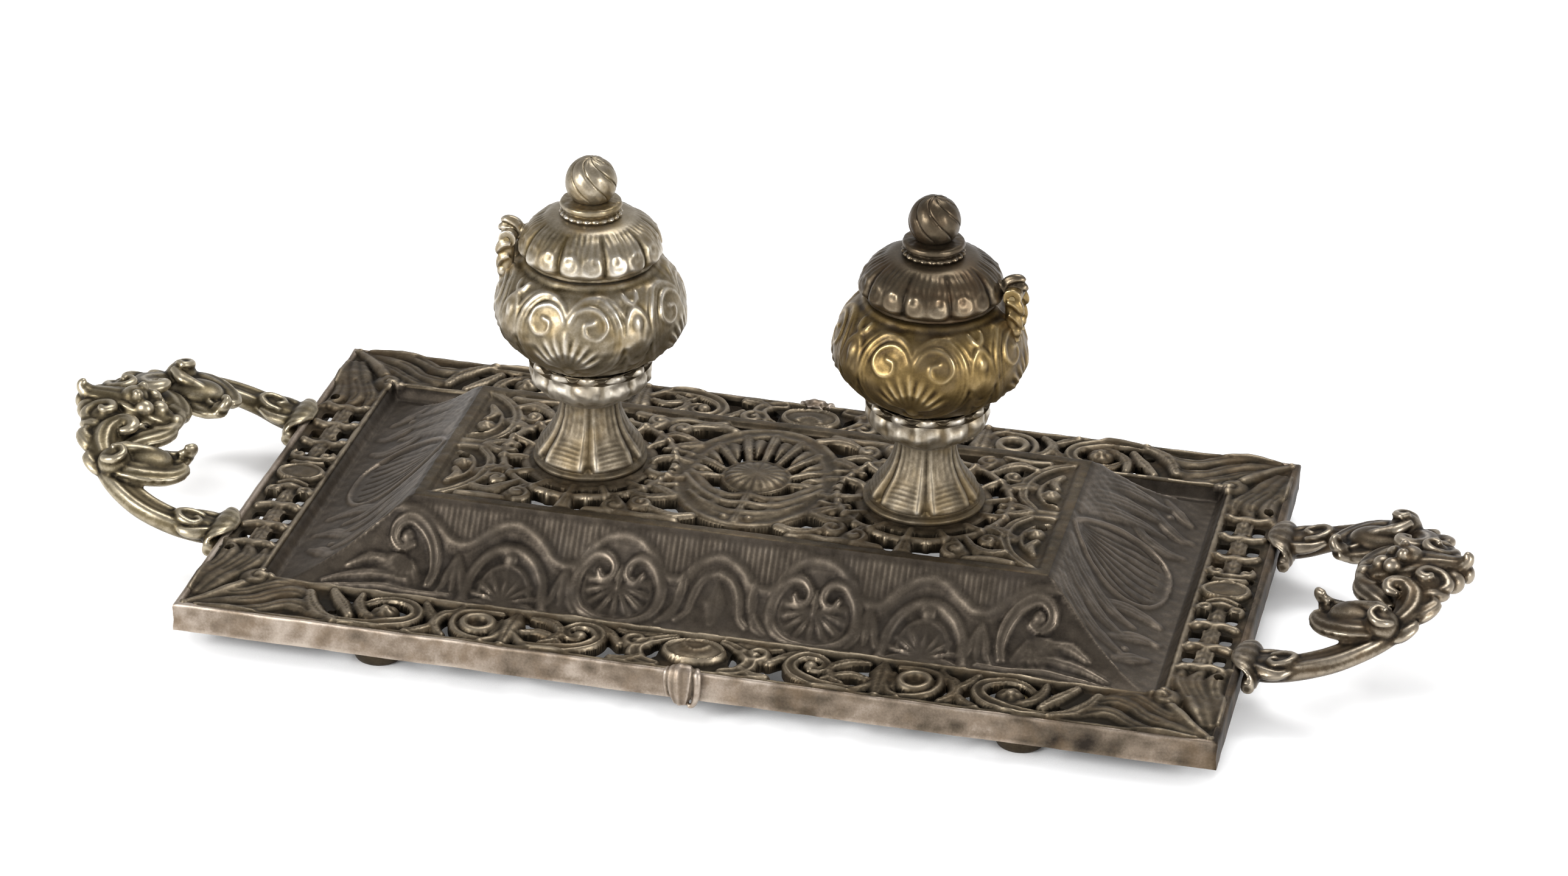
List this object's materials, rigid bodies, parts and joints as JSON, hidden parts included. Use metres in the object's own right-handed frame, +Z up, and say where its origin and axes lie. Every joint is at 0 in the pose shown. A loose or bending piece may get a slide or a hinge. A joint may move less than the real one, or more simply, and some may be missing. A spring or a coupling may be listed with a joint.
{
  "type": "desk inkstand",
  "caption": "Cast metal desk inkstand: footed tray with a pierced raised platform, lidded urn inkwells with hinged domed lids and ball finials, and scroll handles.",
  "frame": {"origin": "on the desk, under the middle of the tray, at the bottom of the feet", "axes": "+X along the tray to the right-hand urn, +Y to the back, +Z up"},
  "size_m": [0.3922, 0.1628, 0.1214],
  "materials": {
    "dark_bronze": "cast bronze with a dark patina, worn brassy on the high points, blackish in the recesses",
    "olive_brass": "cast brass, pale olive, rubbed bright on the crests",
    "brown_brass": "cast brass, warm brown, rubbed on the crests",
    "silvered_brass": "worn silvery brass with brown in the hollows",
    "golden_brass": "golden brass with dark brown in the hollows",
    "brown_bronze": "dark brown bronze with golden highs",
    "grey_brass": "silvery gold brass, fluted and beaded",
    "liner_glass": "pressed glass ink liner",
    "fastener_brass": "plain turned brass"
  },
  "bodies": {
    "stand": {"tray": "dark_bronze", "handle_left": "olive_brass", "handle_right": "brown_brass", "handle_washers": "fastener_brass", "handle_nuts": "fastener_brass", "foot_front_left": "dark_bronze", "foot_front_right": "dark_bronze", "foot_back_left": "dark_bronze", "foot_back_right": "dark_bronze", "foot_screws": "fastener_brass", "left_pedestal": "grey_brass", "left_calyx": "grey_brass", "left_bowl": "silvered_brass", "left_liner": "liner_glass", "left_tie_bolt": "fastener_brass", "left_tie_washer": "fastener_brass", "left_tie_nut": "fastener_brass", "left_hinge_pin": "fastener_brass", "right_pedestal": "grey_brass", "right_calyx": "grey_brass", "right_bowl": "golden_brass", "right_liner": "liner_glass", "right_tie_bolt": "fastener_brass", "right_tie_washer": "fastener_brass", "right_tie_nut": "fastener_brass", "right_hinge_pin": "fastener_brass"},
    "left_lid": {"left_lid": "silvered_brass", "left_lid_collar": "silvered_brass", "left_finial": "silvered_brass", "left_finial_nut": "fastener_brass"},
    "right_lid": {"right_lid": "brown_bronze", "right_lid_collar": "brown_bronze", "right_finial": "brown_bronze", "right_finial_nut": "fastener_brass"}
  },
  "joints": [
    {"name": "left_lid_hinge", "type": "hinge", "parent": "stand", "child": "left_lid", "pos_m": [-0.069, 0, 0.0965], "axis": [0, -1, 0], "range_deg": [0, 105]},
    {"name": "right_lid_hinge", "type": "hinge", "parent": "stand", "child": "right_lid", "pos_m": [0.069, 0, 0.0965], "axis": [0, 1, 0], "range_deg": [0, 105]}
  ]
}
